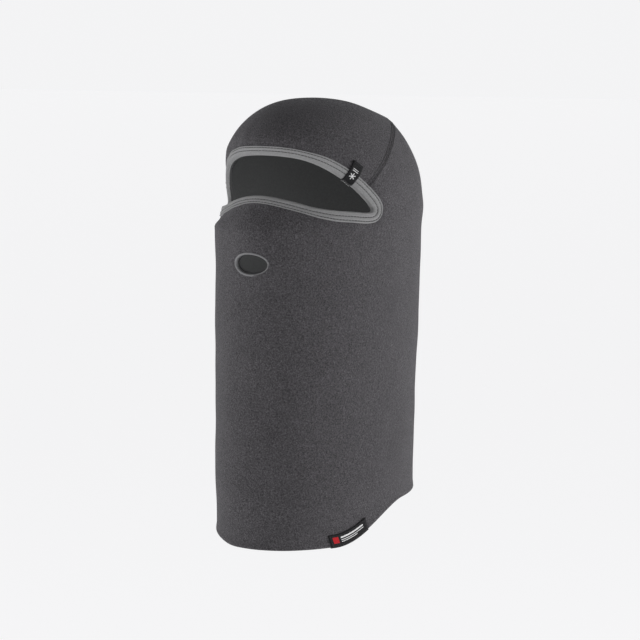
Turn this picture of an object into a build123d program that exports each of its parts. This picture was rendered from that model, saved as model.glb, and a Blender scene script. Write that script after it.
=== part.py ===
from build123d import *
from math import cos, degrees, exp, hypot, radians, sin
import os

# A full-face balaclava of stretch fleece, on the head.  Millimetres.
# Frame: the origin is the inside of the crown, where the top of the head sits.
# +Z is up, the face looks along -Y and the wearer's left side is at +X.

# Cloth and trim thicknesses
FABRIC = 2.6
TAPE = 0.9
LABEL = 0.8
THREAD = 0.45
FILM = 0.9

# Outer shape of the worn hood, measured from its central upright axis
HALF_WIDTH = 82.0
BROW_REACH = 97.0
BACK_REACH = 118.0
SIDE_DEPTH = 104.0
BROW_DEPTH = 60.0
BACK_DEPTH = 96.0
SIDE_POWER = 2.4
BACK_POWER = 2.15
CROWN_LEAN = 10.0
MASK_STEP = 9.0
MASK_STEP_TOP = 86.0
MASK_STEP_TALL = 24.0
CHEST_FLARE = 10.0
NECK_WAIST = 22.0
SIDE_WAIST = 5.0
FLARE_TOP = 105.0
NOSE_OUT = 6.0
NOSE_WIDE = 25.0
NOSE_TALL = 32.0
NOSE_DROP = 108.0

# Hem: long in front like a bib, shorter behind
FRONT_LENGTH = 377.0
BACK_LENGTH = 347.0
HEM_BREAK_FRONT = -72.0
HEM_BREAK_BACK = 12.0

# Eye opening: edge height at each angle round the head from the centre front
EYE_TOP = ((0, 43.0), (15, 43.8), (27, 46.0), (38.5, 51.5), (49, 60.0), (57.5, 69.6), (65, 80.5))
EYE_CORNER = ((69.3, 88.4), (70.4, 91.6), (69.4, 94.2), (65.5, 95.0))
EYE_BOTTOM = ((57, 93.6), (45, 91.6), (32, 88.4), (20, 84.0), (9, 80.5))
EYE_LOW_CENTRE = (0, 79.3)
EYE_RADIUS = 92.0
EYE_PARTS = 2
EYE_VIEW_BACK = 40.0
EYE_VIEW_DROP = 72.0
CONE_NEAR = 12.0
CONE_FAR = 125.0
BINDING = 8.4
BINDING_WRAP = 1.3
STITCH_INNER = 2.5
STITCH_OUTER = 6.1
STITCH_WIDE = 0.6

# Crown seam, in side view: a slanting line from the eye corner to the rear crown
SEAM_LINE = ((-42, 74), (-27, 61.5), (0, 42.5), (23, 29.5), (46, 22), (72, 16.5), (110, 12))
SEAM_IN_EYE = ((-165, 62), (-104, 62), (-76, 76), (-56, 82))
SEAM_ROW_GAP = 1.9
SEAM_ROW_WIDE = 0.7
SEAM_COVER = 2.8

# Breathing hole
VENT_HALF_WIDE = 17.4
VENT_HALF_TALL = 10.2
VENT_DROP = 136.0
VENT_RIM = 1.9
VENT_WRAP = 1.0
VENT_BACKING_OUT = 2.2
VENT_BACKING_IN = 0.8

# Labels
BROW_LABEL_ANGLE = 55.3
BROW_LABEL_LONG = 18.5
BROW_LABEL_WIDE = 10.2
BROW_LABEL_PAST = 1.4
HEM_LABEL_FRONT = -75.5
HEM_LABEL_BACK = -38.5
HEM_LABEL_TALL = 10.5
HEM_LABEL_LEAN = 5.2
TACK_IN = 1.5
TACK_WIDE = 0.6

ROUND = 24
JOIN_ANGLE = 150
LEVELS = (1.2, 4, 8.5, 14, 21, 31, 44, 60, 76, 88, 99, 112, 130, 152, 176, 200, 225, 250, 275, 300)
FOOT_STEPS = 4
FORMS = {}
TOP_Z = FABRIC
FOOT = FRONT_LENGTH + 14.0


def ease(t):
    t = min(max(t, 0.0), 1.0)
    return t * t * (3 - 2 * t)


def dome(down, height, power):
    t = min(max(1 - down / height, 0.0), 1.0)
    return (1 - t ** power) ** (1 / power)


def reaches(drop, grow):
    """Front, back and side half sizes at a drop below the crown, grown outward by grow."""
    down = drop + grow
    front = (BROW_REACH + grow) * dome(down, BROW_DEPTH + grow, SIDE_POWER)
    front += MASK_STEP * ease((drop - MASK_STEP_TOP) / MASK_STEP_TALL)
    low = max(drop - FLARE_TOP, 0.0) / 300.0
    back = (BACK_REACH + grow) * dome(down, BACK_DEPTH + grow, BACK_POWER)
    side = (HALF_WIDTH + grow) * dome(down, SIDE_DEPTH + grow, SIDE_POWER)
    return front + CHEST_FLARE * low, back - NECK_WAIST * low, side - SIDE_WAIST * low


def surface(angle, drop, grow=0.0):
    """A point of the cloth's outer face: angle in degrees from the front towards +X."""
    front, back, side = reaches(drop, grow)
    a = radians(angle)
    x = side * sin(a)
    y = -(front if cos(a) > 0 else back) * cos(a)
    y -= CROWN_LEAN * exp(-(drop + grow) / 7.0)
    if cos(a) > 0:
        y -= NOSE_OUT * exp(-(x / NOSE_WIDE) ** 2 - ((drop - NOSE_DROP) / NOSE_TALL) ** 2)
    return x, y, TOP_Z - drop


def closed_face(plane, points):
    even = [i / len(points) for i in range(len(points) + 1)]
    places = [Vector(x, y) for x, y in points]
    with BuildSketch(plane) as face:
        with BuildLine():
            add(Edge.make_spline(places, periodic=True, parameters=even))
        make_face()
    return face.sketch


def form(grow):
    """The solid form of the filled hood, with every face moved outward by grow."""
    drops = [d - grow for d in LEVELS]
    step = (FOOT - LEVELS[-1]) / FOOT_STEPS
    drops += [LEVELS[-1] + step * (i + 1) - grow for i in range(FOOT_STEPS)]
    faces = []
    for drop in drops:
        ring = [surface(JOIN_ANGLE + 360 * i / ROUND, drop, grow) for i in range(ROUND)]
        faces.append(closed_face(Plane.XY.offset(TOP_Z - drop), [(p[0], p[1]) for p in ring]))
    tip = Vertex(0, -CROWN_LEAN, TOP_Z + grow)
    with BuildPart() as solid:
        loft([tip] + faces)
    return solid.part


def grown(grow):
    """The form for a growth, made once and kept."""
    if grow not in FORMS:
        FORMS[grow] = form(grow)
    return FORMS[grow]


def layer(region, outer, inner):
    """The part of a region that lies between two grown forms."""
    with BuildPart() as piece:
        add(region)
        add(grown(outer), mode=Mode.INTERSECT)
        add(grown(inner), mode=Mode.SUBTRACT)
    return piece.part


def between(a, b, ta, tb, t):
    """The point at t on the line that is at a when t is ta and at b when t is tb."""
    share = (t - ta) / (tb - ta)
    return a[0] + (b[0] - a[0]) * share, a[1] + (b[1] - a[1]) * share


def smooth_loop(points, parts):
    """A closed curve through the points, with parts points to each span."""
    count = len(points)
    curve = []
    for i in range(count):
        p = [points[(i + k) % count] for k in (-1, 0, 1, 2)]
        t = [0.0]
        for a, b in zip(p, p[1:]):
            t.append(t[-1] + hypot(b[0] - a[0], b[1] - a[1]) ** 0.5)
        for k in range(parts):
            at = t[1] + (t[2] - t[1]) * k / parts
            first = [between(p[j], p[j + 1], t[j], t[j + 1], at) for j in range(3)]
            second = [between(first[j], first[j + 1], t[j], t[j + 2], at) for j in range(2)]
            curve.append(between(second[0], second[1], t[1], t[2], at))
    return curve


def unit(a, b):
    size = hypot(b[0] - a[0], b[1] - a[1])
    return (b[0] - a[0]) / size, (b[1] - a[1]) / size


def eye_edge(out):
    """The eye opening's edge on the outer face, moved outward by out."""
    half = EYE_TOP + EYE_CORNER + EYE_BOTTOM
    loop = list(half) + [EYE_LOW_CENTRE] + [(-a, d) for a, d in reversed(half[1:])]
    flat = smooth_loop([(radians(a) * EYE_RADIUS, -d) for a, d in loop], EYE_PARTS)
    count = len(flat)
    moved = []
    for i in range(count):
        u = unit(flat[i - 1], flat[i])
        v = unit(flat[i], flat[(i + 1) % count])
        dx, dy = unit((0, 0), (u[0] + v[0], u[1] + v[1]))
        moved.append((flat[i][0] - dy * out, flat[i][1] + dx * out))
    return [(degrees(x / EYE_RADIUS), -y) for x, y in moved]


def eye_cone(out):
    """A cutter through the front wall, with the eye opening's outline grown by out."""
    return view_cone(eye_edge(out))


def view_cone(outline, smooth=True):
    """A solid of straight lines from inside the head through an outline on the cloth."""
    eye = (0.0, EYE_VIEW_BACK, TOP_Z - EYE_VIEW_DROP)
    ends = []
    for depth in (CONE_NEAR, CONE_FAR):
        flat = []
        for angle, drop in outline:
            p = surface(angle, drop)
            t = (eye[1] + depth) / (eye[1] - p[1])
            flat.append((eye[0] + (p[0] - eye[0]) * t, eye[2] + (p[2] - eye[2]) * t))
        plane = Plane.XZ.offset(depth)
        if smooth:
            ends.append(closed_face(plane, flat))
        else:
            with BuildSketch(plane) as quad:
                with BuildLine():
                    Polyline(*flat, close=True)
                make_face()
            ends.append(quad.sketch)
    with BuildPart() as cone:
        loft(ends, ruled=True)
    return cone.part


def eye_ring(out, inside):
    """The band between two growths of the eye opening's outline."""
    with BuildPart() as ring:
        add(eye_cone(out))
        add(eye_cone(inside), mode=Mode.SUBTRACT)
    return ring.part


def seam_points(shift):
    """The crown seam in side view, moved square to its slant by shift."""
    slant = (-0.55, 0.83)
    line = SEAM_IN_EYE + SEAM_LINE + ((150, 9),)
    return [(y + slant[0] * shift, TOP_Z - d + slant[1] * shift) for y, d in line]


def side_strip(low, high):
    """A prism across the head between the crown seam moved by low and by high."""
    bottom = seam_points(low)
    top = seam_points(high)
    with BuildPart() as strip:
        with BuildSketch(Plane.YZ):
            with BuildLine():
                Spline(*bottom)
                Line(bottom[-1], top[-1])
                Spline(*top)
                Line(top[0], bottom[0])
            make_face()
        extrude(amount=130, both=True)
    return strip.part


def above_seam(shift):
    """Everything above the crown seam moved by shift."""
    line = seam_points(shift)
    with BuildPart() as upper:
        with BuildSketch(Plane.YZ):
            with BuildLine():
                Spline(*line)
                Line(line[-1], (line[-1][0], 60))
                Line((line[-1][0], 60), (line[0][0], 60))
                Line((line[0][0], 60), line[0])
            make_face()
        extrude(amount=130, both=True)
    return upper.part


def hem_drop(y):
    """How far below the crown the hem lies at a place from front to back."""
    t = (y - HEM_BREAK_FRONT) / (HEM_BREAK_BACK - HEM_BREAK_FRONT)
    return FRONT_LENGTH + (BACK_LENGTH - FRONT_LENGTH) * ease(t)


def below_hem(shift=0.0):
    """Everything below the hem line moved down by shift."""
    ys = (-150, -110, -85, -65, -50, -35, -20, -5, 8, 30, 70, 150)
    line = [(y, TOP_Z - hem_drop(y) - shift) for y in ys]
    floor = TOP_Z - FOOT - 40
    with BuildPart() as lower:
        with BuildSketch(Plane.YZ):
            with BuildLine():
                Spline(*line)
                Line(line[-1], (150, floor))
                Line((150, floor), (-150, floor))
                Line((-150, floor), line[0])
            make_face()
        extrude(amount=130, both=True)
    return lower.part


def vent_plug(grow):
    """An oval prism through the front wall at the breathing hole."""
    with BuildPart() as plug:
        with BuildSketch(Plane.XZ.offset(60)):
            with Locations((0, TOP_Z - VENT_DROP)):
                Ellipse(VENT_HALF_WIDE + grow, VENT_HALF_TALL + grow)
        extrude(amount=90)
    return plug.part


def back_strip(left, right):
    """An upright prism behind the head between two distances to the wearer's left."""
    with BuildPart() as strip:
        with BuildSketch(Plane.XY.offset(TOP_Z - FOOT - 20)):
            with Locations(((left + right) / 2, 90)):
                Rectangle(right - left, 120)
        extrude(amount=FOOT + 40)
    return strip.part


def fabric_tube():
    """The cloth with its hem cut and its two openings, before it is parted at the seam."""
    with BuildPart() as tube:
        add(grown(0))
        add(grown(-FABRIC), mode=Mode.SUBTRACT)
        add(below_hem(), mode=Mode.SUBTRACT)
        add(eye_cone(BINDING_WRAP), mode=Mode.SUBTRACT)
        add(vent_plug(VENT_WRAP - VENT_RIM), mode=Mode.SUBTRACT)
    return tube.part


fabric = fabric_tube()
crown_side = above_seam(0)

# Crown and forehead: one piece from eye corner to eye corner over the head
with BuildPart() as brow_panel:
    add(fabric)
    add(crown_side, mode=Mode.INTERSECT)

# Mask, cheeks and neck: one wrapped piece, joined down the back
with BuildPart() as body_panel:
    add(fabric)
    add(crown_side, mode=Mode.SUBTRACT)

# Elastic binding: folded over the raw edge of the eye opening
with BuildPart() as eye_binding:
    add(layer(eye_ring(BINDING, 0), TAPE, -FABRIC - TAPE))
    add(fabric, mode=Mode.SUBTRACT)


def binding_row(place):
    """One needle row of the coverstitch: a round thread lying on the binding's outer face."""
    radius = STITCH_WIDE / 2
    points = [Vector(*surface(a, d, TAPE + radius)) for a, d in eye_edge(place)]
    first, second = points[-1], points[0]
    with BuildPart() as row:
        with BuildLine() as path:
            Polyline(*points, close=True)
        with BuildSketch(Plane(origin=(first + second) / 2, z_dir=second - first)):
            Circle(radius)
        sweep(path=path.wire(), transition=Transition.RIGHT)
    return row


eye_stitch_inner = binding_row(STITCH_INNER)
eye_stitch_outer = binding_row(STITCH_OUTER)


def seam_row(low, high, outer, inner):
    """Thread along the crown seam, clear of the binding."""
    with BuildPart() as row:
        add(layer(side_strip(low, high), outer, inner))
        add(eye_cone(BINDING), mode=Mode.SUBTRACT)
    return row


ROW_IN = SEAM_ROW_GAP - SEAM_ROW_WIDE / 2
ROW_OUT = SEAM_ROW_GAP + SEAM_ROW_WIDE / 2

# Crown seam: two needle rows outside, looper threads inside
crown_seam_upper = seam_row(ROW_IN, ROW_OUT, THREAD, 0)
crown_seam_lower = seam_row(-ROW_OUT, -ROW_IN, THREAD, 0)
crown_seam_looper = seam_row(-SEAM_COVER, SEAM_COVER, -FABRIC, -FABRIC - THREAD)


def back_row(left, right, outer, inner):
    """One upright line of thread down the centre back, from the crown seam to the hem."""
    with BuildPart() as row:
        add(layer(back_strip(left, right), outer, inner))
        add(above_seam(-SEAM_COVER - 1), mode=Mode.SUBTRACT)
        add(below_hem(-1.0), mode=Mode.SUBTRACT)
    return row


# Back seam: two needle rows outside, looper threads inside
back_seam_left = back_row(ROW_IN, ROW_OUT, THREAD, 0)
back_seam_right = back_row(-ROW_OUT, -ROW_IN, THREAD, 0)
back_seam_looper = back_row(-SEAM_COVER, SEAM_COVER, -FABRIC, -FABRIC - THREAD)


def vent_ring(out, inside):
    """The band between two growths of the breathing hole's oval."""
    with BuildPart() as ring:
        add(vent_plug(out))
        add(vent_plug(inside), mode=Mode.SUBTRACT)
    return ring.part


# Breathing hole: a bonded film rim outside that turns in through the hole
with BuildPart() as vent_rim:
    add(layer(vent_ring(0, -VENT_RIM), FILM, -FABRIC))
    add(fabric, mode=Mode.SUBTRACT)

# Breathing hole: the backing ring inside
with BuildPart() as vent_backing:
    add(layer(vent_ring(VENT_BACKING_OUT, -VENT_RIM - VENT_BACKING_IN), -FABRIC, -FABRIC - FILM))


def eye_edge_at(angle, out):
    """The place on the upper eye edge at an angle, and the way out across the binding."""
    edge = EYE_TOP
    for (a0, d0), (a1, d1) in zip(edge, edge[1:]):
        if a0 <= angle <= a1:
            t = (angle - a0) / (a1 - a0)
            place = (radians(angle) * EYE_RADIUS, -(d0 + (d1 - d0) * t))
            along = (radians(a1 - a0) * EYE_RADIUS, d0 - d1)
    size = hypot(*along)
    along = (along[0] / size, along[1] / size)
    return place, along, (-along[1], along[0])


def label_patch(start, stop, left, right):
    """A patch across the upper binding: start and stop outward, left and right along it."""
    place, along, out = eye_edge_at(BROW_LABEL_ANGLE, 0)
    corners = []
    for o, s in ((start, left), (start, right), (stop, right), (stop, left)):
        x = place[0] + out[0] * o + along[0] * s
        y = place[1] + out[1] * o + along[1] * s
        corners.append((degrees(x / EYE_RADIUS), -y))
    return view_cone(corners, smooth=False)


LABEL_END = BROW_LABEL_LONG - BROW_LABEL_PAST
LABEL_SIDE = BROW_LABEL_WIDE / 2

# Brow label: a woven strip folded round the binding, both ends sewn down above it
with BuildPart() as brow_label:
    add(layer(label_patch(-BROW_LABEL_PAST, LABEL_END, -LABEL_SIDE, LABEL_SIDE),
              TAPE + LABEL, -FABRIC - TAPE - LABEL))
    add(fabric, mode=Mode.SUBTRACT)
    add(eye_binding.part, mode=Mode.SUBTRACT)
    add(eye_stitch_inner.part, mode=Mode.SUBTRACT)
    add(eye_stitch_outer.part, mode=Mode.SUBTRACT)

# Brow label stitching: a bar across its upper end
with BuildPart() as brow_label_stitch:
    add(layer(label_patch(LABEL_END - TACK_IN - TACK_WIDE, LABEL_END - TACK_IN,
                          -LABEL_SIDE + TACK_IN, LABEL_SIDE - TACK_IN),
              TAPE + LABEL + THREAD, TAPE + LABEL))


def hem_patch(front, back, under, over):
    """A slanting prism over the left side of the hem, under and over the hem line."""
    def spot(y, up):
        lean = HEM_LABEL_LEAN * up / HEM_LABEL_TALL
        return (y - lean, TOP_Z - hem_drop(y) + up)
    middle = (front + back) / 2
    low = [spot(y, -under) for y in (front, middle, back)]
    high = [spot(y, over) for y in (back, middle, front)]
    with BuildPart() as prism:
        with BuildSketch(Plane.YZ):
            with BuildLine():
                Polyline(*(low + high), close=True)
            make_face()
        extrude(amount=130)
    return prism.part


# Hem label: a woven strip folded round the hem edge
with BuildPart() as hem_label:
    add(layer(hem_patch(HEM_LABEL_FRONT, HEM_LABEL_BACK, LABEL, HEM_LABEL_TALL),
              LABEL, -FABRIC - LABEL))
    add(fabric, mode=Mode.SUBTRACT)


def hem_bar(front):
    """One bar of stitching down the hem label's outer face."""
    prism = hem_patch(front, front + TACK_WIDE, -TACK_IN, HEM_LABEL_TALL - TACK_IN)
    return layer(prism, LABEL + THREAD, LABEL)


# Hem label stitching: a bar down each end
with BuildPart() as hem_label_stitch:
    add(hem_bar(HEM_LABEL_FRONT + TACK_IN))
    add(hem_bar(HEM_LABEL_BACK - TACK_IN - TACK_WIDE))

os.makedirs("parts", exist_ok=True)
brow_panel.part.label = "brow_panel"
export_step(brow_panel.part, "parts/brow_panel.step")
body_panel.part.label = "body_panel"
export_step(body_panel.part, "parts/body_panel.step")
eye_binding.part.label = "eye_binding"
export_step(eye_binding.part, "parts/eye_binding.step")
eye_stitch_inner.part.label = "eye_stitch_inner"
export_step(eye_stitch_inner.part, "parts/eye_stitch_inner.step")
eye_stitch_outer.part.label = "eye_stitch_outer"
export_step(eye_stitch_outer.part, "parts/eye_stitch_outer.step")
crown_seam_upper.part.label = "crown_seam_upper"
export_step(crown_seam_upper.part, "parts/crown_seam_upper.step")
crown_seam_lower.part.label = "crown_seam_lower"
export_step(crown_seam_lower.part, "parts/crown_seam_lower.step")
crown_seam_looper.part.label = "crown_seam_looper"
export_step(crown_seam_looper.part, "parts/crown_seam_looper.step")
back_seam_left.part.label = "back_seam_left"
export_step(back_seam_left.part, "parts/back_seam_left.step")
back_seam_right.part.label = "back_seam_right"
export_step(back_seam_right.part, "parts/back_seam_right.step")
back_seam_looper.part.label = "back_seam_looper"
export_step(back_seam_looper.part, "parts/back_seam_looper.step")
vent_rim.part.label = "vent_rim"
export_step(vent_rim.part, "parts/vent_rim.step")
vent_backing.part.label = "vent_backing"
export_step(vent_backing.part, "parts/vent_backing.step")
brow_label.part.label = "brow_label"
export_step(brow_label.part, "parts/brow_label.step")
brow_label_stitch.part.label = "brow_label_stitch"
export_step(brow_label_stitch.part, "parts/brow_label_stitch.step")
hem_label.part.label = "hem_label"
export_step(hem_label.part, "parts/hem_label.step")
hem_label_stitch.part.label = "hem_label_stitch"
export_step(hem_label_stitch.part, "parts/hem_label_stitch.step")
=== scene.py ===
import math

import bpy
import bmesh
import numpy as np
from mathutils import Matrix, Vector


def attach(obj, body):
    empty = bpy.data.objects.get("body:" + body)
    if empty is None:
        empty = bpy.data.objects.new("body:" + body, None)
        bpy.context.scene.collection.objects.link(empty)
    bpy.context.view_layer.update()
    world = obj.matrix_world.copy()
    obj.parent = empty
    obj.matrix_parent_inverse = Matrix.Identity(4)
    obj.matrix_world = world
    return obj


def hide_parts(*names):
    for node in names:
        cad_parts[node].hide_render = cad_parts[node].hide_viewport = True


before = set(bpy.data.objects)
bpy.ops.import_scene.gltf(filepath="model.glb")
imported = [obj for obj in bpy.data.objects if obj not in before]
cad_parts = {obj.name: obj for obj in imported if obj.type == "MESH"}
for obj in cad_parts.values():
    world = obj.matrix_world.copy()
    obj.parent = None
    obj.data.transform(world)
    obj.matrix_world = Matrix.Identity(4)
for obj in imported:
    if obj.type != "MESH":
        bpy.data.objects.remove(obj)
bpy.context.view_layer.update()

# ---------------------------------------------------------------- sizes, millimetres, as in the CAD
MM = 0.001
FABRIC = 2.6
TOP = FABRIC
HALF_WIDTH, BROW_REACH, BACK_REACH = 82.0, 97.0, 118.0
SIDE_DEPTH, BROW_DEPTH, BACK_DEPTH = 104.0, 60.0, 96.0
SIDE_POWER, BACK_POWER = 2.4, 2.15
CROWN_LEAN = 10.0
MASK_STEP, MASK_STEP_TOP, MASK_STEP_TALL = 9.0, 86.0, 24.0
CHEST_FLARE, NECK_WAIST, SIDE_WAIST, FLARE_TOP = 10.0, 22.0, 5.0, 105.0
NOSE_OUT, NOSE_WIDE, NOSE_TALL, NOSE_DROP = 6.0, 25.0, 32.0, 108.0
FRONT_LENGTH, BACK_LENGTH = 377.0, 347.0
HEM_BREAK_FRONT, HEM_BREAK_BACK = -72.0, 12.0
EYE_TOP = ((0, 43.0), (15, 43.8), (27, 46.0), (38.5, 51.5), (49, 60.0), (57.5, 69.6), (65, 80.5))
EYE_CORNER = ((69.3, 88.4), (70.4, 91.6), (69.4, 94.2), (65.5, 95.0))
EYE_BOTTOM = ((57, 93.6), (45, 91.6), (32, 88.4), (20, 84.0), (9, 80.5))
EYE_LOW_CENTRE = (0, 79.3)
EYE_RADIUS = 92.0
BINDING = 8.4
WRAP = 1.3
SEAM_LINE = ((-165, 62), (-104, 62), (-76, 76), (-56, 82), (-42, 74), (-27, 61.5), (0, 42.5),
             (23, 29.5), (46, 22), (72, 16.5), (110, 12), (150, 9))
ROW_GAP = 1.9
VENT_WIDE, VENT_TALL, VENT_DROP, VENT_RIM = 17.4, 10.2, 136.0, 1.9
LABEL_ANGLE, LABEL_LONG, LABEL_WIDE, LABEL_PAST = 55.3, 18.5, 10.2, 1.4
HEM_FROM, HEM_TO, HEM_TALL = -75.5, -38.5, 10.5

# ---------------------------------------------------------------- how the worn cloth departs from the CAD
HEM_LIFT = 4.0          # the hem hangs this much shorter over the wearer's right side
TUCK_REACH = 15.0       # the elastic edge draws the cloth in over this distance
FAR_TUCK = 4.5          # more of that on the wearer's right
FLOOR_Z = -0.62         # metres
LIGHT_CENTRE = (0, 0, -0.19)


# ---------------------------------------------------------------- the worn shape
def ease(t):
    t = np.clip(t, 0, 1)
    return t * t * (3 - 2 * t)


def dome(down, height, power):
    t = np.clip(1 - down / height, 0, 1)
    return (1 - t ** power) ** (1 / power)


def base(angle, drop):
    """Points of the smooth outer form: angle in degrees from the front towards the left ear."""
    angle, drop = np.asarray(angle, float), np.asarray(drop, float)
    a = np.radians(angle)
    low = np.maximum(drop - FLARE_TOP, 0) / 300
    front = BROW_REACH * dome(drop, BROW_DEPTH, SIDE_POWER)
    front = front + MASK_STEP * ease((drop - MASK_STEP_TOP) / MASK_STEP_TALL) + CHEST_FLARE * low
    back = BACK_REACH * dome(drop, BACK_DEPTH, BACK_POWER) - NECK_WAIST * low
    side = HALF_WIDTH * dome(drop, SIDE_DEPTH, SIDE_POWER) - SIDE_WAIST * low
    x = side * np.sin(a)
    y = -np.where(np.cos(a) > 0, front, back) * np.cos(a) - CROWN_LEAN * np.exp(-drop / 7)
    nose = NOSE_OUT * np.exp(-(x / NOSE_WIDE) ** 2 - ((drop - NOSE_DROP) / NOSE_TALL) ** 2)
    y = y - np.where(np.cos(a) > 0, nose, 0)
    return np.stack([x, y, TOP - drop], -1)


def outward(angle, drop):
    drop = np.maximum(drop, 0.4)
    along = base(angle + 0.4, drop) - base(angle - 0.4, drop)
    down = base(angle, drop + 0.3) - base(angle, drop - 0.3)
    n = -np.cross(along, down)
    return n / np.maximum(np.linalg.norm(n, axis=-1, keepdims=True), 1e-9)


def smooth_loop(points, parts):
    """A closed centripetal curve through the points."""
    out, count = [], len(points)
    for i in range(count):
        p = [np.array(points[(i + k) % count], float) for k in (-1, 0, 1, 2)]
        t = [0.0]
        for a, b in zip(p, p[1:]):
            t.append(t[-1] + math.sqrt(np.linalg.norm(b - a)))
        for k in range(parts):
            at = t[1] + (t[2] - t[1]) * k / parts
            first = [p[j] + (p[j + 1] - p[j]) * (at - t[j]) / (t[j + 1] - t[j]) for j in range(3)]
            second = [first[j] + (first[j + 1] - first[j]) * (at - t[j]) / (t[j + 2] - t[j])
                      for j in range(2)]
            out.append(second[0] + (second[1] - second[0]) * (at - t[1]) / (t[2] - t[1]))
    return np.array(out)


def even(points, step, closed=True):
    """The same curve with evenly spaced points."""
    loop = np.vstack([points, points[:1]]) if closed else points
    run = np.concatenate([[0], np.cumsum(np.linalg.norm(np.diff(loop, axis=0), axis=1))])
    count = int(run[-1] / step)
    at = np.linspace(0, run[-1], count, endpoint=not closed)
    return np.stack([np.interp(at, run, loop[:, k]) for k in range(loop.shape[1])], 1)


def flat_of(angle, drop):
    return np.stack([np.radians(angle) * EYE_RADIUS, -np.asarray(drop, float)], -1)


def from_flat(flat):
    return np.degrees(flat[..., 0] / EYE_RADIUS), -flat[..., 1]


half = EYE_TOP + EYE_CORNER + EYE_BOTTOM
eye_points = list(half) + [EYE_LOW_CENTRE] + [(-a, d) for a, d in reversed(half[1:])]
eye_points = [(math.radians(a) * EYE_RADIUS, -d) for a, d in eye_points]
eye_loop = even(smooth_loop(eye_points, 14), 1.0)
ahead = np.roll(eye_loop, -2, 0) - np.roll(eye_loop, 2, 0)
ahead /= np.linalg.norm(ahead, axis=1, keepdims=True)
eye_out = np.stack([-ahead[:, 1], ahead[:, 0]], 1)


def eye_distance(angle, drop):
    """Distance from the eye opening's edge over the cloth: positive on the cloth."""
    q = flat_of(angle, drop)
    shape = q.shape[:-1]
    q = q.reshape(-1, 2)
    result = np.full(len(q), 60.0)
    low, high = eye_loop.min(0) - 32, eye_loop.max(0) + 32
    near = np.where(((q > low) & (q < high)).all(1))[0]
    a = eye_loop
    b = np.roll(eye_loop, -1, 0)
    ab = b - a
    for part in np.array_split(near, max(len(near) // 4000, 1)):
        p = q[part][:, None]
        t = np.clip(((p - a) * ab).sum(-1) / (ab ** 2).sum(-1), 0, 1)
        gap = np.linalg.norm(p - a - t[..., None] * ab, axis=-1).min(1)
        up = (a[:, 1] > p[..., 1]) != (b[:, 1] > p[..., 1])
        cross = a[:, 0] + (p[..., 1] - a[:, 1]) * ab[:, 0] / np.where(ab[:, 1] == 0, 1e-9, ab[:, 1])
        inside = (up & (p[..., 0] < cross)).sum(1) % 2 == 1
        result[part] = np.where(inside, -gap, gap)
    return result.reshape(shape)


def vent_value(angle, drop):
    """Distance from the breathing hole's rim centre line, roughly, positive outside it."""
    p = base(angle, drop)
    x, z = p[..., 0], p[..., 2] - (TOP - VENT_DROP)
    wide, tall = VENT_WIDE - 1, VENT_TALL - 1
    r = np.sqrt((x / wide) ** 2 + (z / tall) ** 2)
    scale = np.sqrt(x ** 2 + z ** 2) / np.maximum(r, 1e-6)
    return np.where(p[..., 1] < -60, (r - 1) * scale, 60.0)


seam_curve = even(np.array(SEAM_LINE, float), 1.0, closed=False)
for _ in range(14):
    seam_curve[1:-1] = (seam_curve[:-2] + 2 * seam_curve[1:-1] + seam_curve[2:]) / 4


def seam_value(angle, drop):
    """Distance over the cloth from the crown seam, positive above it."""
    p = base(angle, drop)
    level = np.interp(p[..., 1], seam_curve[:, 0], seam_curve[:, 1])
    return (level - drop) * 0.82


def drape(angle, drop):
    """Small real unevenness of worn cloth: broad hollows, soft folds and the sewn edges."""
    a = np.radians(angle)
    fade = ease((drop - 6) / 40)
    soft = 0.55 * np.sin(2 * a + drop / 47 + 0.6) * np.sin(drop / 31 + 1.1 * np.sin(a + 0.4))
    soft += 0.35 * np.sin(5 * a - drop / 26) * np.sin(drop / 19 + 2 * a)
    soft += 0.16 * np.sin(11 * a + drop / 9.5 + 2 * np.sin(3 * a)) * np.sin(drop / 13 - 4 * a)
    neck = 0.8 * ease((drop - 210) / 120) * np.sin(3 * a + 0.7) * np.sin(drop / 55)
    # a shallow dent where the crown cap meets the rear, and one over the ear
    dent = -1.5 * np.exp(-((angle - 138) / 26) ** 2 - ((drop - 9) / 6) ** 2)
    bulge = 1.0 * np.exp(-((angle - 122) / 16) ** 2 - ((drop - 97) / 9) ** 2)
    hem = 0.7 * ease(1 - (hem_line(angle) - drop) / 7)
    g = seam_value(angle, drop)
    pucker = 0.75 + 0.25 * np.sin(base(angle, drop)[..., 1] * 2.1)
    seam = (-0.15 * np.exp(-(g / 0.8) ** 2) + 0.35 * np.exp(-((np.abs(g) - 3.1) / 1.5) ** 2)) * pucker
    rear = base(angle, drop)[..., 0]
    behind = np.where((np.cos(a) < 0) & (g < 0), 1.0, 0.0)
    puck2 = 0.75 + 0.25 * np.sin(drop * 2.1)
    back = (-0.15 * np.exp(-(rear / 0.8) ** 2)
            + 0.35 * np.exp(-((np.abs(rear) - 3.1) / 1.5) ** 2)) * behind * puck2
    v = vent_value(angle, drop)
    vent = -0.55 * np.exp(-((v - 2.0) / 1.0) ** 2) + 0.25 * np.exp(-((v - 4.6) / 1.8) ** 2)
    return (soft + neck) * fade + dent + bulge + hem + seam + back + vent


def tuck(angle, drop, gap):
    """How far the elastic edge draws the cloth in towards the face."""
    angle = np.asarray(angle, float)
    middle = 61.3 + 0.0062 * angle ** 2
    upper = ease((middle - drop) / 16 + 0.5)
    far = ease((-angle - 12) / 34)
    front = 1 - ease((np.abs(angle) - 18) / 30)
    depth = 2.2 + 3.6 * upper * (1 - far) - 1.4 * far + 1.5 * front
    t = np.clip(1 - np.maximum(gap, -3) / TUCK_REACH, 0, 1.2)
    ripple = 0.35 * np.sin(np.radians(angle) * 23) * np.clip(1 - np.abs(gap - 11) / 9, 0, 1)
    return depth * t ** 2 + FAR_TUCK * far * ease((17.5 - gap) / 8.5) + ripple


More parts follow.
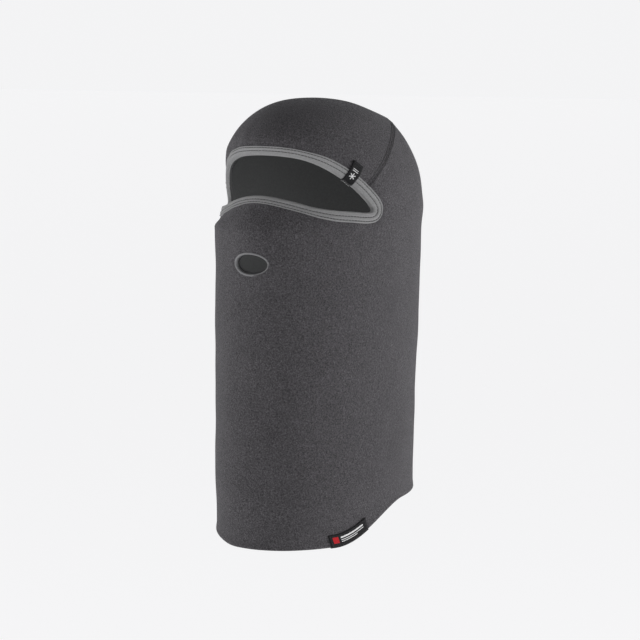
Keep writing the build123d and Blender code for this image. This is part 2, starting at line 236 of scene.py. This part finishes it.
def place(angle, drop, height=0.0, gap=None):
    """A point over the worn cloth, in metres, height above its outer face."""
    angle, drop = np.broadcast_arrays(np.asarray(angle, float), np.asarray(drop, float))
    if gap is None:
        gap = eye_distance(angle, drop)
    p = base(angle, drop)
    n = outward(angle, drop)
    rise = drape(angle, drop) - tuck(angle, drop, gap) + height
    return (p + n * np.asarray(rise)[..., None]) * MM


def hem_line(angle):
    """The drop of the hem at an angle."""
    drop = np.full(np.shape(angle), 362.0)
    for _ in range(3):
        y = base(angle, drop)[..., 1]
        t = ease((y - HEM_BREAK_FRONT) / (HEM_BREAK_BACK - HEM_BREAK_FRONT))
        drop = FRONT_LENGTH + (BACK_LENGTH - FRONT_LENGTH) * t
    # the hem hangs a little shorter over the wearer's right side
    return drop - HEM_LIFT * ease((-angle - 8) / 34) * (1 - ease((-angle - 46) / 44))


# ---------------------------------------------------------------- materials
def material(name, color, rough=0.9, sheen=0.0, grain=(), bump=(), weave=None, spread=0.12):
    """A procedural cloth: grain and bump are (scale per metre, strength) pairs."""
    mat = bpy.data.materials.new(name)
    mat.use_nodes = True
    nodes, links = mat.node_tree.nodes, mat.node_tree.links
    shader = nodes["Principled BSDF"]
    shader.inputs["Roughness"].default_value = rough
    shader.inputs["Specular IOR Level"].default_value = 0.18
    shader.inputs["Base Color"].default_value = (*color, 1)
    if sheen:
        shader.inputs["Sheen Weight"].default_value = sheen
        shader.inputs["Sheen Roughness"].default_value = 0.45
        shader.inputs["Sheen Tint"].default_value = (0.75, 0.75, 0.78, 1)
    where = nodes.new("ShaderNodeTexCoord")
    value = None
    for scale, amount in grain:
        noise = nodes.new("ShaderNodeTexNoise")
        noise.inputs["Scale"].default_value = scale
        noise.inputs["Detail"].default_value = 3.0
        links.new(where.outputs["Object"], noise.inputs["Vector"])
        part = nodes.new("ShaderNodeMapRange")
        part.inputs["From Min"].default_value = 0.3
        part.inputs["From Max"].default_value = 0.7
        part.inputs["To Min"].default_value = 1 - amount
        part.inputs["To Max"].default_value = 1 + amount
        links.new(noise.outputs["Fac"], part.inputs["Value"])
        if value is None:
            value = part.outputs["Result"]
        else:
            both = nodes.new("ShaderNodeMath")
            both.operation = "MULTIPLY"
            links.new(value, both.inputs[0])
            links.new(part.outputs["Result"], both.inputs[1])
            value = both.outputs["Value"]
    if value is not None:
        tint = nodes.new("ShaderNodeVectorMath")
        tint.operation = "SCALE"
        tint.inputs[0].default_value = color
        links.new(value, tint.inputs["Scale"])
        links.new(tint.outputs["Vector"], shader.inputs["Base Color"])
    normal = None
    for scale, strength, depth in bump:
        noise = nodes.new("ShaderNodeTexNoise")
        noise.inputs["Scale"].default_value = scale
        noise.inputs["Detail"].default_value = 4.0
        noise.inputs["Roughness"].default_value = 0.65
        links.new(where.outputs["Object"], noise.inputs["Vector"])
        rise = nodes.new("ShaderNodeBump")
        rise.inputs["Strength"].default_value = strength
        rise.inputs["Distance"].default_value = depth
        links.new(noise.outputs["Fac"], rise.inputs["Height"])
        if normal is not None:
            links.new(normal, rise.inputs["Normal"])
        normal = rise.outputs["Normal"]
    if weave:
        for axis, (scale, strength, depth) in zip("XY", weave):
            wave = nodes.new("ShaderNodeTexWave")
            wave.bands_direction = axis
            wave.inputs["Scale"].default_value = scale
            links.new(where.outputs["UV"], wave.inputs["Vector"])
            rise = nodes.new("ShaderNodeBump")
            rise.inputs["Strength"].default_value = strength
            rise.inputs["Distance"].default_value = depth
            links.new(wave.outputs["Fac"], rise.inputs["Height"])
            if normal is not None:
                links.new(normal, rise.inputs["Normal"])
            normal = rise.outputs["Normal"]
    if normal is not None:
        links.new(normal, shader.inputs["Normal"])
    return mat


FLEECE = material("fleece", (0.075, 0.0715, 0.0765), 0.95, 0.18, ((780, 0.46), (1400, 0.40), (40, 0.06)),
                  ((700, 0.9, 0.0010), (1500, 0.6, 0.0005)))
# the fleece's inner face: the same fleece painted darker, painted shade for the inside of the hood
FLEECE_SHADED_INSIDE = material("fleece_inner_painted_shade", (0.054, 0.055, 0.0555), 0.92, 0.12, ((700, 0.10),),
                  ((1400, 0.35, 0.0004),))
TAPE = material("binding", (0.29, 0.29, 0.292), 0.85, 0.10, ((900, 0.10),),
                ((2400, 0.3, 0.0002),), weave=((0.9, 0.5, 0.00025), (0.6, 0.2, 0.0001)))
# the tape's inner face: the same tape painted much darker, painted shade where the tape turns inside the
# hood
TAPE_SHADED_INSIDE = material("binding_inner_painted_shade", (0.062, 0.063, 0.064), 0.9, 0.0, (), ((2400, 0.3, 0.0002),))
THREAD = material("thread", (0.052, 0.052, 0.054), 0.7, 0.0, (), ((3500, 0.3, 0.0001),))
SEAM_THREAD = material("thread_seam", (0.066, 0.064, 0.067), 0.8)
DARK_THREAD = material("thread_dark", (0.045, 0.045, 0.047), 0.7)
FILM = material("film", (0.21, 0.21, 0.215), 0.5, 0.0, ((1200, 0.05),), ((1500, 0.15, 0.0001),))
FILM_DARK = material("film_dark", (0.045, 0.045, 0.047), 0.6, 0.0, (), ((1500, 0.2, 0.0001),))
LABEL = material("label", (0.010, 0.010, 0.011), 0.62, 0.05, (), (),
                 weave=((9.0, 0.35, 0.00012), (9.0, 0.35, 0.00012)))
WHITE = material("label_white", (0.72, 0.72, 0.72), 0.7, 0.0, (), ((3000, 0.3, 0.0001),))
RED = material("label_red", (0.45, 0.012, 0.018), 0.7, 0.0, (), ((3000, 0.3, 0.0001),))


# ---------------------------------------------------------------- mesh making
def mesh_object(name, points, faces, mats, smooth=True, uv=None, merge=0.0, indices=None):
    mesh = bpy.data.meshes.new(name)
    mesh.from_pydata([tuple(p) for p in points], [], [tuple(int(i) for i in f) for f in faces])
    for m in mats:
        mesh.materials.append(m)
    if indices is not None:
        mesh.polygons.foreach_set("material_index", indices)
    if uv is not None:
        layer = mesh.uv_layers.new(name="UVMap")
        loops = np.empty(len(mesh.loops), np.int32)
        mesh.loops.foreach_get("vertex_index", loops)
        layer.data.foreach_set("uv", np.asarray(uv, np.float32)[loops].ravel())
    obj = bpy.data.objects.new(name, mesh)
    bpy.context.scene.collection.objects.link(obj)
    bm = bmesh.new()
    bm.from_mesh(mesh)
    if merge:
        bmesh.ops.remove_doubles(bm, verts=bm.verts, dist=merge)
        bmesh.ops.dissolve_degenerate(bm, edges=bm.edges, dist=merge)
    bmesh.ops.recalc_face_normals(bm, faces=bm.faces)
    bm.to_mesh(mesh)
    bm.free()
    mesh.polygons.foreach_set("use_smooth", np.full(len(mesh.polygons), smooth))
    return obj


def clip(points, faces, values):
    """Keeps the part of a mesh in (angle, drop) where values is positive."""
    points = [tuple(p) for p in points]
    keep = values > 0
    made, out = {}, []

    def crossing(i, j):
        key = (min(i, j), max(i, j))
        if key not in made:
            t = values[i] / (values[i] - values[j])
            a, b = points[i], points[j]
            points.append((a[0] + (b[0] - a[0]) * t, a[1] + (b[1] - a[1]) * t))
            made[key] = len(points) - 1
        return made[key]

    for face in faces:
        inside = [keep[i] for i in face]
        if all(inside):
            out.append(face)
        elif any(inside):
            shape = []
            for k, i in enumerate(face):
                j = face[(k + 1) % len(face)]
                if keep[i]:
                    shape.append(i)
                if keep[i] != keep[j]:
                    shape.append(crossing(i, j))
            if len(shape) > 2:
                out.append(tuple(shape))
    used = sorted({i for f in out for i in f})
    number = {old: new for new, old in enumerate(used)}
    return np.array([points[i] for i in used]), [tuple(number[i] for i in f) for f in out]


def cloth_grid():
    angles = np.linspace(-180, 180, 321)
    fine = np.concatenate([np.linspace(0, 1, 200) ** 2.4 * 20, np.linspace(20.1, FRONT_LENGTH, 900)])
    profile = base(np.full(len(fine), 90.0), fine)
    run = np.concatenate([[0], np.cumsum(np.linalg.norm(np.diff(profile, axis=0), axis=1))])
    drops = np.interp(np.linspace(0, run[-1], 262), run, fine)
    drops[0] = 0.0
    hem = hem_line(angles)
    a, d = np.meshgrid(angles, drops)
    stretch = (hem[None, :] - 190) / (FRONT_LENGTH - 190)
    d = np.where(d > 190, 190 + (d - 190) * stretch, d)
    points = np.stack([a.ravel(), d.ravel()], 1)
    cols = len(angles)
    faces = [(r * cols + c, r * cols + c + 1, (r + 1) * cols + c + 1, (r + 1) * cols + c)
             for r in range(len(drops) - 1) for c in range(cols - 1)]
    return points, faces


def solid_cloth(name, points, faces, thick):
    """The clipped cloth at its real thickness, with its inner face in a darker copy of the fleece:
    painted shade for the shaded inside of the hood.
    """
    at = place(points[:, 0], points[:, 1])
    obj = mesh_object(name, at, faces, [FLEECE, FLEECE_SHADED_INSIDE], merge=2e-5)
    bm = bmesh.new()
    bm.from_mesh(obj.data)
    centre = Vector((0, 0, -0.1))
    top = max(bm.faces, key=lambda f: f.calc_center_median().z)
    if top.normal.dot(top.calc_center_median() - centre) < 0:
        bmesh.ops.reverse_faces(bm, faces=bm.faces)
    bm.to_mesh(obj.data)
    bm.free()
    solid = obj.modifiers.new("thickness", "SOLIDIFY")
    solid.thickness = thick * MM
    solid.offset = -1.0
    solid.material_offset = 1
    solid.use_rim = True
    bpy.context.view_layer.objects.active = obj
    bpy.ops.object.modifier_apply(modifier="thickness")
    return obj


def loft_loops(name, rings, mats, closed_rings=True, closed_path=True, uv_scale=(1.0, 1.0),
               smooth=True):
    """A mesh through rings of points: rings is (count along, count round, 3)."""
    n, m = rings.shape[:2]
    faces = []
    for i in range(n if closed_path else n - 1):
        for j in range(m if closed_rings else m - 1):
            a, b = i * m + j, i * m + (j + 1) % m
            c, d = ((i + 1) % n) * m + (j + 1) % m, ((i + 1) % n) * m + j
            faces.append((a, b, c, d))
    if not closed_path and closed_rings:
        faces.append(tuple(range(m)))
        faces.append(tuple((n - 1) * m + k for k in range(m)))
    u, v = np.meshgrid(np.arange(n) * uv_scale[0], np.arange(m) * uv_scale[1], indexing="ij")
    uv = np.stack([u.ravel(), v.ravel()], 1)
    return mesh_object(name, rings.reshape(-1, 3), faces, mats, smooth, uv)


def stitches(name, starts, ends, radius, mats, normals, arch=0.15):
    """Short rounded lengths of thread from each start to each end, arched off the cloth."""
    points, faces = [], []
    sides, steps = 6, 5
    for a, b, n in zip(starts, ends, normals):
        along = b - a
        length = np.linalg.norm(along)
        if length < 1e-6:
            continue
        along = along / length
        across = np.cross(along, n)
        across /= np.linalg.norm(across)
        up = np.cross(across, along)
        first = len(points)
        for k in range(steps):
            t = k / (steps - 1)
            size = radius * MM * (0.45 if k in (0, steps - 1) else 1.0)
            middle = a + along * length * t + up * (arch * MM * math.sin(math.pi * t))
            for s in range(sides):
                w = 2 * math.pi * s / sides
                points.append(middle + across * math.cos(w) * size + up * math.sin(w) * size)
        for k in range(steps - 1):
            for s in range(sides):
                i, j = first + k * sides + s, first + k * sides + (s + 1) % sides
                faces.append((i, j, j + sides, i + sides))
        faces.append(tuple(first + s for s in range(sides)))
        faces.append(tuple(first + (steps - 1) * sides + s for s in range(sides)))
    return mesh_object(name, points, faces, mats)


def row_of_stitches(name, angle, drop, height, length, gap, radius, mats, arch=0.15, distance=None):
    """One needle row along a line over the cloth."""
    line = place(angle, drop, height, distance)
    run = np.concatenate([[0], np.cumsum(np.linalg.norm(np.diff(line, axis=0), axis=1))]) / MM
    first = np.arange(0, run[-1] - length, length + gap)
    at = [np.stack([np.interp(w, run, line[:, k]) for k in range(3)], 1)
          for w in (first, first + length)]
    normal = outward(np.interp(first, run, angle), np.interp(first, run, drop))
    return stitches(name, at[0], at[1], radius, mats, normal, arch)


# ---------------------------------------------------------------- the cloth panels
grid_points, grid_faces = cloth_grid()
gap_all = eye_distance(grid_points[:, 0], grid_points[:, 1])
cut_points, cut_faces = clip(grid_points, grid_faces, gap_all - WRAP)
cut_points, cut_faces = clip(cut_points, cut_faces, vent_value(cut_points[:, 0], cut_points[:, 1]))
split = seam_value(cut_points[:, 0], cut_points[:, 1])
brow_panel = solid_cloth("brow_panel_cloth", *clip(cut_points, cut_faces, split - 0.05), FABRIC)
body_panel = solid_cloth("body_panel_cloth", *clip(cut_points, cut_faces, -split - 0.05), FABRIC)

# ---------------------------------------------------------------- the elastic binding
GROOVES = (3.3, 6.6)    # distance of each stitched groove from the opening
RIB_HIGH, GROOVE_DEEP = 1.25, 0.8
FOLD_GAP = 0.2          # where the tape starts to turn round the raw edge
BACK_SHORT = 1.2        # how much narrower the tape is on the inside
FRONT_NARROW = 0.30     # share of its width that the tape loses at the front
outer_gap = np.linspace(BINDING, FOLD_GAP, 34)
rib = RIB_HIGH - GROOVE_DEEP * sum(np.exp(-((outer_gap - g) / 0.42) ** 2) for g in GROOVES)
rib = rib * ease((BINDING - outer_gap) / 0.9 + 0.12)
turn = np.linspace(0.15, math.pi - 0.15, 9)
turn_gap = FOLD_GAP - np.sin(turn)
turn_height = -FABRIC / 2 + (FABRIC / 2 + 1.2) * np.cos(turn)
inner_gap = np.linspace(FOLD_GAP, BINDING - BACK_SHORT, 12)
inner_height = np.full(12, -FABRIC - 1.0)
profile_gap = np.concatenate([outer_gap, turn_gap, inner_gap, [BINDING - BACK_SHORT]])
profile_height = np.concatenate([rib, turn_height, inner_height, [-FABRIC + 0.2]])
narrow = 1 - FRONT_NARROW * (1 - ease((np.abs(from_flat(eye_loop)[0]) - 26) / 24))
ring_gap = np.where(profile_gap > 0, profile_gap[None] * narrow[:, None], profile_gap[None])
flat = eye_loop[:, None] + eye_out[:, None] * ring_gap[..., None]
ring_angle, ring_drop = from_flat(flat)
rings = place(ring_angle, ring_drop, np.broadcast_to(profile_height, ring_angle.shape), ring_gap)
eye_binding = loft_loops("eye_binding_tape", rings, [TAPE, TAPE_SHADED_INSIDE], uv_scale=(1.0, 0.3))
around = rings.shape[1]
# the faces on the inside of the tape take the darker copy: painted shade
painted_shade_faces = np.arange(around) >= len(outer_gap) + 5
eye_binding.data.polygons.foreach_set("material_index",
                                      np.tile(painted_shade_faces, rings.shape[0]).astype(np.int32))


def eye_line(gap):
    gaps = gap * np.append(narrow, narrow[0])
    line = np.vstack([eye_loop, eye_loop[:1]]) + np.vstack([eye_out, eye_out[:1]]) * gaps[:, None]
    return *from_flat(line), gaps


eye_rows = []
for name, gap in zip(("inner", "outer"), GROOVES):
    angle, drop, gaps = eye_line(gap)
    eye_rows.append(row_of_stitches("eye_row_" + name, angle, drop, 0.62, 2.5, 0.35, 0.24,
                                    [THREAD], 0.1, gaps))


# ---------------------------------------------------------------- the two flat seams
def seam_path(shift):
    """The crown seam from the left eye corner over the crown to the right one, moved by shift."""
    sides = []
    drops = np.concatenate([np.linspace(80, 24, 150), np.linspace(24, 10, 220)])
    angles = np.linspace(50, 180, 1400)
    for sign in (1, -1):
        found = []
        for drop in drops:
            value = seam_value(angles, np.full(len(angles), drop)) - shift
            change = np.where(np.diff(np.sign(value)) != 0)[0]
            if len(change):
                k = change[0]
                t = value[k] / (value[k] - value[k + 1])
                found.append((angles[k] + (angles[k + 1] - angles[k]) * t, drop))
        found = [f for f in found if eye_distance(np.array([f[0]]), np.array([f[1]]))[0] > BINDING]
        sides.append([(sign * a, d) for a, d in found])
    return sides


def seam_rows(prefix, paths_of, cross):
    """Two needle rows and the ladder of threads between them, outside; a looper band inside."""
    rows = []
    for name, shift in (("upper", ROW_GAP), ("lower", -ROW_GAP)):
        parts = []
        for k, path in enumerate(paths_of(shift)):
            a, d = np.array(path).T
            parts.append(row_of_stitches(f"{prefix}_{name}_{k}", a, d, 0.14, 2.3, 0.5, 0.22,
                                         [THREAD], 0.12))
        rows.append(parts)
    ladder = []
    for side, (a_path, b_path) in enumerate(zip(paths_of(cross), paths_of(-cross))):
        ends = []
        for path in (a_path, b_path):
            a, d = np.array(path).T
            line = place(a, d, 0.28)
            run = np.concatenate([[0], np.cumsum(np.linalg.norm(np.diff(line, axis=0), axis=1))])
            ends.append((line, run / MM, a, d))
        length = min(ends[0][1][-1], ends[1][1][-1])
        at = np.arange(0.6, length - 0.6, 1.35)
        points = [np.stack([np.interp(at + lean, e[1] * length / e[1][-1], e[0][:, k])
                            for k in range(3)], 1) for e, lean in ((ends[0], 0.0), (ends[1], 0.45))]
        angle, drop = np.interp(at, ends[0][1], ends[0][2]), np.interp(at, ends[0][1], ends[0][3])
        ladder.append(stitches(f"{prefix}_ladder_{side}", points[0], points[1], 0.1,
                               [SEAM_THREAD], outward(angle, drop), 0.0))
        inner = [p - outward(angle, drop) * (FABRIC + 0.45) * MM for p in points]
        ladder.append(stitches(f"{prefix}_inner_{side}", inner[0], inner[1], 0.2,
                               [DARK_THREAD], -outward(angle, drop), 0.0))
    return rows, ladder


def back_path(shift):
    drops = np.arange(24, BACK_LENGTH - 1.5, 1.0)
    side = base(np.full(len(drops), 90.0), drops)[:, 0]
    angle = 180 - np.degrees(np.arcsin(shift / side))
    return [list(zip(angle, drops))]


crown_rows, crown_ladder = seam_rows("crown", seam_path, ROW_GAP)
back_rows, back_ladder = seam_rows("back", back_path, ROW_GAP)


def joined(name, parts):
    """One object out of several."""
    bpy.ops.object.select_all(action="DESELECT")
    for p in parts:
        p.select_set(True)
    bpy.context.view_layer.objects.active = parts[0]
    if len(parts) > 1:
        bpy.ops.object.join()
    parts[0].name = name
    return parts[0]


crown_upper = joined("crown_row_upper", crown_rows[0])
crown_lower = joined("crown_row_lower", crown_rows[1])
crown_cover = joined("crown_cover_threads", crown_ladder)
back_left = joined("back_row_left", back_rows[0])
back_right = joined("back_row_right", back_rows[1])
back_cover = joined("back_cover_threads", back_ladder)


# ---------------------------------------------------------------- the breathing hole
def oval_ring(name, out, profile, mats):
    """A ring round the breathing hole: profile is (distance from the outer oval, height)."""
    w = np.linspace(0, 2 * math.pi, 120, endpoint=False)
    rings = []
    for inset, height in profile:
        x = (VENT_WIDE + out - inset) * np.cos(w)
        z = (VENT_TALL + out - inset) * np.sin(w)
        drop = VENT_DROP - z
        side = base(np.full(len(w), 90.0), drop)[:, 0]
        angle = np.degrees(np.arcsin(x / side))
        rings.append(place(angle, drop, height - drape(angle, drop), np.full(len(w), 60.0)))
    return loft_loops(name, np.array(rings).transpose(1, 0, 2), mats)


vent_rim = oval_ring("vent_rim_film", 0, ((0.0, -0.25), (0.15, 0.3), (0.6, 0.6), (1.1, 0.55),
                                          (1.6, 0.2), (1.9, -0.4), (1.9, -2.4), (1.2, -2.4),
                                          (1.0, -0.4)), [FILM])
vent_backing = oval_ring("vent_backing_film", 2.2, ((0.0, -2.7), (0.0, -3.3), (3.9, -3.6),
                                                    (5.2, -3.3), (5.2, -2.8), (3.9, -2.6)),
                         [FILM_DARK])


# ---------------------------------------------------------------- the folded labels
def ribbon(name, path, across, spot, thick, mats, uv_scale):
    """A folded strip: path is (distance, height) along it, across its width, spot places it."""
    path = np.array(path, float)
    ahead = np.gradient(path, axis=0)
    ahead /= np.linalg.norm(ahead, axis=1, keepdims=True)
    off = np.stack([-ahead[:, 1], ahead[:, 0]], 1) * thick / 2
    one, two = path + off, path - off
    rings = []
    for w in across:
        ring = [spot(w, e, h) for e, h in one] + [spot(w, e, h) for e, h in two[::-1]]
        rings.append(np.array(ring))
    return loft_loops(name, np.array(rings), mats, closed_path=False, uv_scale=uv_scale)


def edge_at(angle):
    a, d = from_flat(eye_loop)
    k = np.argmin(np.where((np.abs(a - angle) < 5) & (d < 80), np.abs(a - angle), 1e9))
    return eye_loop[k], eye_out[k], ahead[k]


brow_spot, brow_out, brow_along = edge_at(LABEL_ANGLE)


def on_brow(w, e, h):
    flat = brow_spot + brow_out * e + brow_along * w
    a, d = from_flat(flat)
    return place(np.array([a]), np.array([d]), np.array([h]), np.array([e]))[0]


BROW_END = LABEL_LONG - LABEL_PAST
over = [(e, 1.75 if e < 8 else 1.75 - 0.75 * ease((e - 8) / 3))
        for e in np.linspace(BROW_END, 0.2, 20)]
fold = [(0.2 - 1.35 * math.sin(t), -FABRIC / 2 + (FABRIC / 2 + 1.75) * math.cos(t))
        for t in np.linspace(0.2, math.pi - 0.2, 8)]
under = [(e, -FABRIC - 1.75 if e < 7.5 else -FABRIC - 1.75 + 1.2 * ease((e - 7.5) / 3))
         for e in np.linspace(0.2, BROW_END - 3, 14)]
brow_across = np.linspace(-LABEL_WIDE / 2, LABEL_WIDE / 2, 9)
brow_label = ribbon("brow_label_tape", over + fold + under, brow_across, on_brow, 0.7, [LABEL],
                    (0.5, 0.35))

hem_angles = []
for y in (HEM_FROM, HEM_TO):
    a = np.linspace(20, 89, 700)
    hem_angles.append(a[np.argmin(np.abs(base(a, hem_line(a))[:, 1] - y))])


def on_hem(w, e, h):
    """w runs from 0 at the front end to 1 at the back end; e is the distance above the hem."""
    a = hem_angles[0] + (hem_angles[1] - hem_angles[0]) * w
    a_up = a + e * 0.14
    drop = hem_line(np.array([a]))[0] - e * 1.02
    return place(np.array([a_up - e * 0.34]), np.array([drop]), np.array([h]), np.array([60.0]))[0]


hem_path = [(e, 0.55) for e in np.linspace(HEM_TALL, 0.3, 9)]
hem_path += [(0.3 - 1.0 * math.sin(t), -FABRIC / 2 + (FABRIC / 2 + 0.55) * math.cos(t))
             for t in np.linspace(0.2, math.pi - 0.2, 8)]
hem_path += [(e, -FABRIC - 0.55) for e in np.linspace(0.3, HEM_TALL - 0.5, 8)]
hem_label = ribbon("hem_label_tape", hem_path, np.linspace(0, 1, 33), on_hem, 0.7, [LABEL],
                   (0.5, 0.5))


def mark(name, spot, outline, mats, height, steps=6):
    """A flat woven mark on a label: outline is four corners (w, e), filled with a small grid."""
    (a, b, c, d) = [np.array(p, float) for p in outline]
    rings = []
    for i in range(steps + 1):
        t = i / steps
        left, right = a + (d - a) * t, b + (c - b) * t
        top = [spot(*(left + (right - left) * s), height) for s in np.linspace(0, 1, steps + 1)]
        low = [spot(*(left + (right - left) * s), height - 0.12) for s in np.linspace(1, 0, steps + 1)]
        rings.append(np.array(top + low))
    return loft_loops(name, np.array(rings), mats, closed_path=False, smooth=False)


def bar(name, spot, start, end, wide, mats, height, aspect=1.0):
    """A straight bar from start to end in label coordinates; aspect is mm per unit of w."""
    s, f = np.array(start, float), np.array(end, float)
    along = (f - s) * (aspect, 1)
    along = along / np.linalg.norm(along)
    side = np.array([-along[1] / aspect, along[0]]) * wide / 2
    return mark(name, spot, (s - side, s + side, f + side, f - side), mats, height)


BROW_FACE = 2.14
arms = []
for k in range(3):
    w = math.radians(60 * k + 30)
    centre = np.array([0.0, 4.6])
    reach = np.array([math.cos(w), math.sin(w)]) * 2.7
    arms.append(bar(f"brow_mark_{k}", on_brow, centre - reach, centre + reach, 0.62, [WHITE],
                    BROW_FACE + 0.03 * k))
for k, e in enumerate((9.0, 10.6)):
    arms.append(bar(f"brow_line_{k}", on_brow, (-2.7, e), (2.7, e), 0.5, [WHITE],
                    1.41 + 0.75 - 0.75 * ease((e - 8) / 3)))
brow_mark = joined("brow_label_mark", arms)

HEM_WIDE = 40.0
HEM_FACE = 0.93
hem_marks = [mark("hem_red", on_hem, ((0.09, 3.0), (0.24, 3.0), (0.24, 8.2), (0.09, 8.2)), [RED],
                  HEM_FACE)]
for k, (w0, w1, e, wide) in enumerate(((0.30, 0.90, 7.0, 1.3), (0.30, 0.90, 4.9, 0.55),
                                       (0.30, 0.72, 3.5, 0.55))):
    hem_marks.append(bar(f"hem_line_{k}", on_hem, (w0, e), (w1, e), wide, [WHITE], HEM_FACE,
                         HEM_WIDE))
hem_mark = joined("hem_label_mark", hem_marks)


def tack(name, spot, start, end, count, height, radius):
    s, f = np.array(start, float), np.array(end, float)
    cuts = [s + (f - s) * t for t in np.linspace(0, 1, count + 1)]
    a = np.array([spot(*(p + (q - p) * 0.08), height) for p, q in zip(cuts, cuts[1:])])
    b = np.array([spot(*(p + (q - p) * 0.92), height) for p, q in zip(cuts, cuts[1:])])
    middle = (a + b) / 2
    normal = middle - np.array([0, 0.01, 0]) - np.array([[0, 0, m[2]] for m in middle])
    normal /= np.linalg.norm(normal, axis=1, keepdims=True)
    return stitches(name, a, b, radius, [DARK_THREAD], normal, 0.08)


brow_tack = tack("brow_label_tack", on_brow, (-3.9, BROW_END - 1.5), (3.9, BROW_END - 1.5), 5, 1.5, 0.2)
hem_tack = joined("hem_label_tack", [
    tack("hem_tack_0", on_hem, (0.04, 1.4), (0.04, HEM_TALL - 1.2), 5, HEM_FACE + 0.05, 0.2),
    tack("hem_tack_1", on_hem, (0.96, 1.4), (0.96, HEM_TALL - 1.2), 5, HEM_FACE + 0.05, 0.2)])

# ---------------------------------------------------------------- what each piece stands for
pieces = {
    "brow_panel": (brow_panel, "fleece"), "body_panel": (body_panel, "fleece"),
    "eye_binding": (eye_binding, "binding"),
    "eye_stitch_inner": (eye_rows[0], "thread"), "eye_stitch_outer": (eye_rows[1], "thread"),
    "crown_seam_upper": (crown_upper, "thread"), "crown_seam_lower": (crown_lower, "thread"),
    "crown_seam_looper": (crown_cover, "thread"),
    "back_seam_left": (back_left, "thread"), "back_seam_right": (back_right, "thread"),
    "back_seam_looper": (back_cover, "thread"),
    "vent_rim": (vent_rim, "film"), "vent_backing": (vent_backing, "film_dark"),
    "brow_label": (brow_label, "label"), "brow_label_stitch": (brow_tack, "label_thread"),
    "hem_label": (hem_label, "label"), "hem_label_stitch": (hem_tack, "label_thread"),
}
for node, (obj, slot) in pieces.items():
    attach(obj, "root")
    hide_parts(node)
for obj in (brow_mark, hem_mark):
    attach(obj, "root")

# ---------------------------------------------------------------- studio
floor_mat = bpy.data.materials.new("floor")
floor_mat.use_nodes = True
floor_shader = floor_mat.node_tree.nodes["Principled BSDF"]
floor_shader.inputs["Base Color"].default_value = (0.12, 0.12, 0.121, 1)
floor_shader.inputs["Roughness"].default_value = 1.0
floor_shader.inputs["Emission Color"].default_value = (1.0, 1.0, 1.01, 1)
floor_shader.inputs["Emission Strength"].default_value = 0.85
bpy.ops.mesh.primitive_plane_add(size=40, location=(0, 0, FLOOR_Z))
floor = bpy.context.object
floor.name = "floor"
floor.data.materials.append(floor_mat)

bpy.context.scene.view_settings.view_transform = "Standard"
world = bpy.data.worlds.new("world")
bpy.context.scene.world = world
world.use_nodes = True
world_nodes, world_links = world.node_tree.nodes, world.node_tree.links
sky = world_nodes["Background"]
where = world_nodes.new("ShaderNodeTexCoord")
split_dir = world_nodes.new("ShaderNodeSeparateXYZ")
ramp = world_nodes.new("ShaderNodeMapRange")
ramp.inputs["From Min"].default_value = 0.05
ramp.inputs["From Max"].default_value = 0.75
ramp.inputs["To Min"].default_value = 0.9
ramp.inputs["To Max"].default_value = 0.04
world_links.new(where.outputs["Generated"], split_dir.inputs["Vector"])
world_links.new(split_dir.outputs["Z"], ramp.inputs["Value"])
world_links.new(ramp.outputs["Result"], sky.inputs["Strength"])
sky.inputs["Color"].default_value = (1.0, 1.0, 1.01, 1)


def lamp(name, azimuth, elevation, distance, power, wide, tall):
    """A soft lamp that faces the hood; azimuth is measured like the camera's."""
    a, e = math.radians(azimuth), math.radians(elevation)
    at = Vector((math.sin(a) * math.cos(e), -math.cos(a) * math.cos(e), math.sin(e))) * distance
    data = bpy.data.lights.new(name, "AREA")
    data.shape = "RECTANGLE"
    data.size, data.size_y = wide, tall
    data.energy = power
    obj = bpy.data.objects.new(name, data)
    centre = Vector(LIGHT_CENTRE)
    obj.location = centre + at
    obj.rotation_euler = (-at).to_track_quat("-Z", "Y").to_euler()
    obj.visible_camera = False
    bpy.context.scene.collection.objects.link(obj)


inside = bpy.data.lights.new("inside_glow", "POINT")
inside.energy = 0.20
inside.shadow_soft_size = 0.03
inside_obj = bpy.data.objects.new("inside_glow", inside)
inside_obj.location = (0.0, 0.005, -0.12)
inside_obj.visible_camera = False
bpy.context.scene.collection.objects.link(inside_obj)

lamp("right_box", 118, 2, 1.3, 9.0, 0.7, 1.3)
lamp("left_box", -62, 0, 1.3, 7.0, 0.5, 1.2)
lamp("front_fill", 75, 0, 2.2, 4.0, 1.2, 1.2)

# ---------------------------------------------------------------- camera, at the photo's angle
YAW, RISE, DISTANCE = math.radians(31.0), math.radians(7.5), 1.9
back_dir = Vector((math.sin(YAW) * math.cos(RISE), -math.cos(YAW) * math.cos(RISE), math.sin(RISE)))
right_dir = Vector((math.cos(YAW), math.sin(YAW), 0))
aim = Vector((0, 0, -0.195 + TOP * MM)) + right_dir * 0.0018
camera_data = bpy.data.cameras.new("camera")
camera_data.sensor_width = 36
camera_data.lens = 36 * DISTANCE / (640 * 0.88 * MM)
camera = bpy.data.objects.new("camera", camera_data)
camera.location = aim + back_dir * DISTANCE
camera.rotation_euler = back_dir.to_track_quat("Z", "Y").to_euler()
bpy.context.scene.collection.objects.link(camera)
bpy.context.scene.camera = camera
